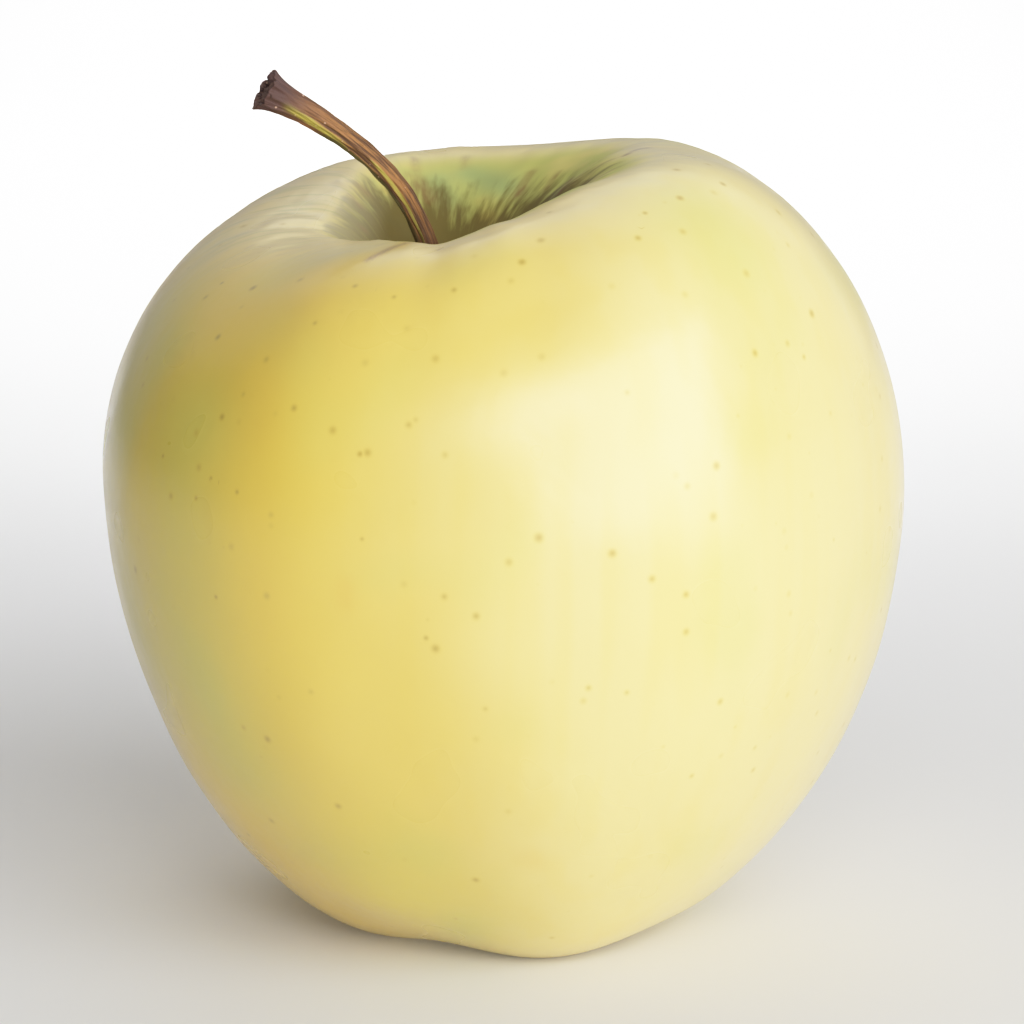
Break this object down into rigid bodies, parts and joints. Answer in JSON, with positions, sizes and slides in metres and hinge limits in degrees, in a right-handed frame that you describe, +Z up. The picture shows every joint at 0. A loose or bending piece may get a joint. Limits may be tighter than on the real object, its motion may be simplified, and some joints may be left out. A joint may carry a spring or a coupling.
{
  "type": "whole apple",
  "caption": "Whole yellow apple, standing on its foot, with a bent stem in its cavity and a dried calyx underneath.",
  "frame": {"origin": "on the surface the apple stands on, under the middle of its box", "axes": "+Z up along the core towards the stem, the stem bends to -X, -Y is the side the picture shows"},
  "size_m": [0.0782, 0.0782, 0.0845],
  "materials": {
    "skin": "waxy yellow skin with small green and brown pores, russet in the cavity",
    "stem": "ridged brown bark with a yellow-green stripe, rough dark end",
    "calyx": "dry, matt, brown"
  },
  "bodies": {
    "root": {"apple_body": "skin", "stem": "stem", "calyx": "calyx"}
  },
  "joints": []
}
